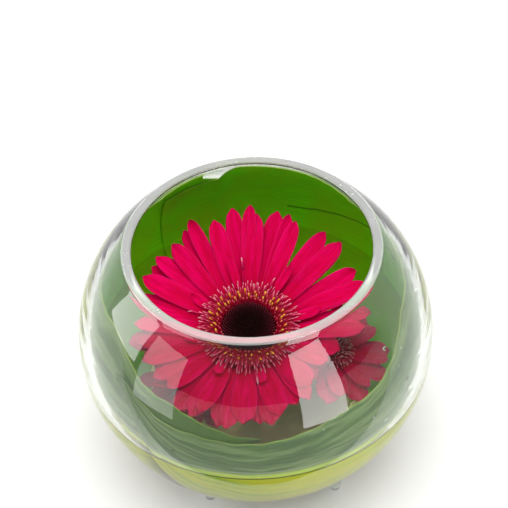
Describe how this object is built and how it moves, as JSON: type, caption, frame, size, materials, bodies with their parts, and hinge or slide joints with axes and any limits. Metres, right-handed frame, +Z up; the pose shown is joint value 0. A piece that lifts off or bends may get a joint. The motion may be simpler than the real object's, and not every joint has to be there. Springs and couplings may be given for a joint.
{
  "type": "gerberas in a bowl",
  "caption": "Round clear glass bowl lined with broad green leaves, half filled with water, with crimson-pink gerbera blooms resting in it.",
  "frame": {"origin": "on the table, below the middle of the bowl, level with the tips of its feet", "axes": "+Z up along the bowl's own axis, -Y towards the front from which the large bloom is seen, +X to the viewer's right"},
  "size_m": [0.16, 0.16, 0.1182],
  "materials": {
    "clear_glass": "polished",
    "clear_foot": "satin",
    "water": "polished",
    "leaf": "satin",
    "petal_pink": "matte",
    "floret_crimson": "matte",
    "disc_dark": "matte",
    "stem_green": "satin"
  },
  "bodies": {
    "root": {"bowl": "clear_glass", "foot_1": "clear_foot", "foot_2": "clear_foot", "foot_3": "clear_foot", "foot_4": "clear_foot", "water": "water", "leaf_left": "leaf", "leaf_right": "leaf", "gerbera_large_petals": "petal_pink", "gerbera_large_florets": "floret_crimson", "gerbera_large_disc": "disc_dark", "gerbera_large_stem": "stem_green", "gerbera_right_petals": "petal_pink", "gerbera_right_florets": "floret_crimson", "gerbera_right_disc": "disc_dark", "gerbera_right_stem": "stem_green", "gerbera_left_petals": "petal_pink", "gerbera_left_florets": "floret_crimson", "gerbera_left_disc": "disc_dark", "gerbera_left_stem": "stem_green"}
  },
  "joints": []
}
